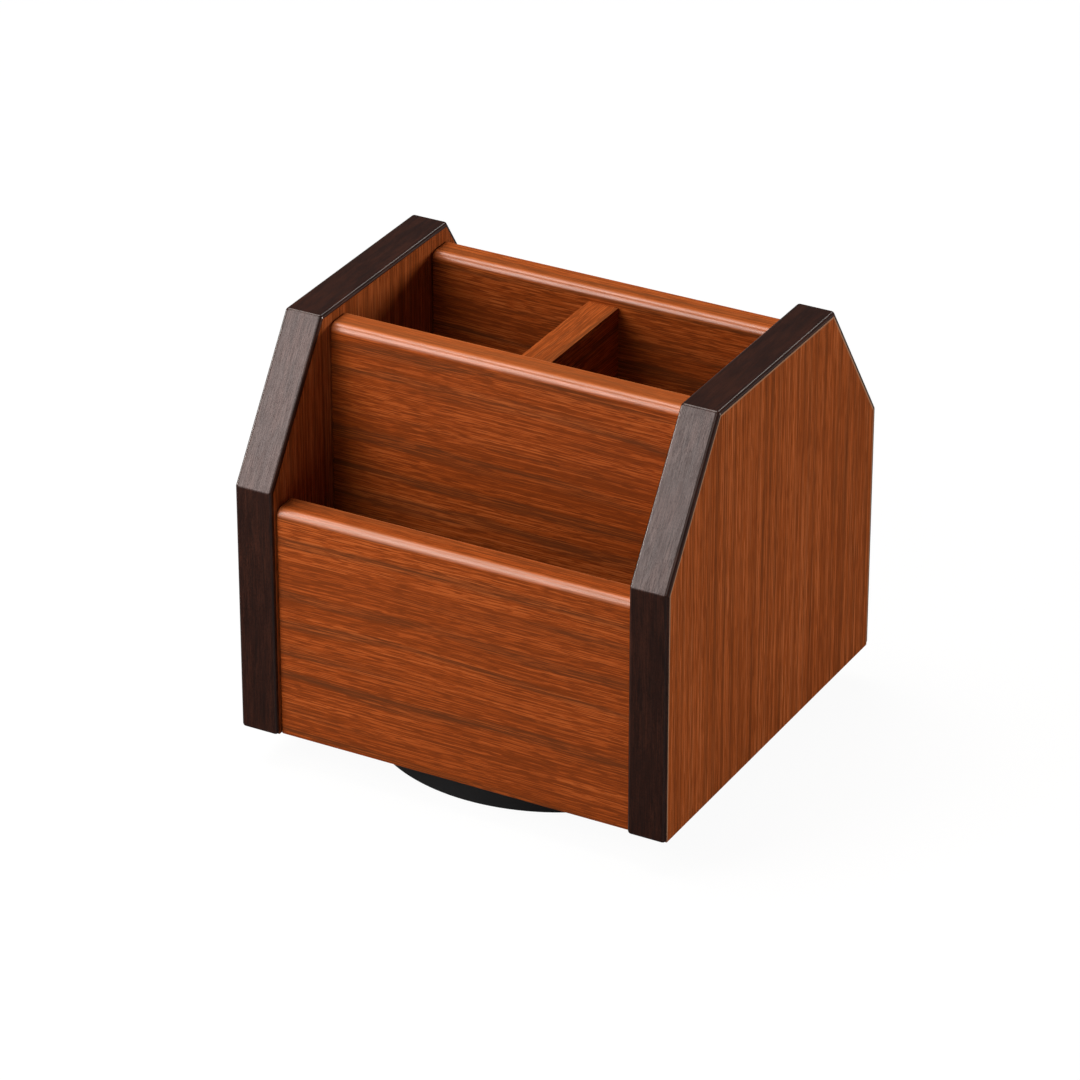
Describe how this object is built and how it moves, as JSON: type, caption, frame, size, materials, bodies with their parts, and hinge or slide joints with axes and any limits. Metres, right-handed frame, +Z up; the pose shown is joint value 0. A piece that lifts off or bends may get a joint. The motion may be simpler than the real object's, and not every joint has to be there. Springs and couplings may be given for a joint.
{
  "type": "revolving desk organizer",
  "caption": "Revolving wooden desk organizer: angled sides with dark edges, a front bin, divided pen bins, a rear note bin and small drawers, on a ball-bearing turntable.",
  "frame": {"origin": "on the desk, on the swivel axis, under the middle of the round base", "axes": "+Z up along the swivel axis, -Y towards the front panel, +Y towards the drawers, +X to the right seen from the front"},
  "size_m": [0.172, 0.1743, 0.1659],
  "materials": {
    "side_laminate": "satin, vertical grain",
    "board_laminate": "satin, lengthwise grain",
    "dark_edge_band": "satin, lengthwise grain",
    "drawer_wood": "plain sanded",
    "dark_wood": "satin, turned",
    "beech": "plain",
    "black_plastic": "satin moulded",
    "grey_rubber": "matt",
    "nylon": "natural moulded",
    "zinc_steel": "zinc plated",
    "ball_steel": "polished"
  },
  "bodies": {
    "turntable_base": {"base_disc": "black_plastic", "base_feet": "grey_rubber", "pivot_rivet": "zinc_steel", "pivot_washer": "zinc_steel"},
    "ball_ring": {"ball_cage": "nylon", "bearing_balls": "ball_steel"},
    "cabinet": {"turntable_plate": "zinc_steel", "plate_screws": "zinc_steel", "bottom_board": "board_laminate", "side_panel_left": "side_laminate", "side_panel_right": "side_laminate", "edge_band_left": "dark_edge_band", "edge_band_right": "dark_edge_band", "front_panel": "board_laminate", "middle_panel": "board_laminate", "back_panel": "board_laminate", "rear_panel": "board_laminate", "pen_divider": "board_laminate", "shelf_board": "board_laminate", "drawer_partition": "board_laminate", "panel_dowels": "beech"},
    "drawer_left": {"drawer_left_front": "board_laminate", "drawer_left_side_a": "drawer_wood", "drawer_left_side_b": "drawer_wood", "drawer_left_back": "drawer_wood", "drawer_left_bottom": "drawer_wood", "drawer_left_knob": "dark_wood", "drawer_left_knob_screw": "zinc_steel"},
    "drawer_right": {"drawer_right_front": "board_laminate", "drawer_right_side_a": "drawer_wood", "drawer_right_side_b": "drawer_wood", "drawer_right_back": "drawer_wood", "drawer_right_bottom": "drawer_wood", "drawer_right_knob": "dark_wood", "drawer_right_knob_screw": "zinc_steel"}
  },
  "joints": [
    {"name": "swivel", "type": "hinge", "parent": "turntable_base", "child": "cabinet", "pos_m": [0, 0, 0], "axis": [0, 0, 1], "continuous": true},
    {"name": "ball_ring_roll", "type": "hinge", "parent": "turntable_base", "child": "ball_ring", "pos_m": [0, 0, 0], "axis": [0, 0, 1], "continuous": true},
    {"name": "drawer_left_slide", "type": "slide", "parent": "cabinet", "child": "drawer_left", "axis": [0, 1, 0], "range_m": [0, 0.07]},
    {"name": "drawer_right_slide", "type": "slide", "parent": "cabinet", "child": "drawer_right", "axis": [0, 1, 0], "range_m": [0, 0.07]}
  ],
  "couplings": [
    {"joint": "ball_ring_roll", "follows": "swivel", "ratio": 0.5}
  ]
}
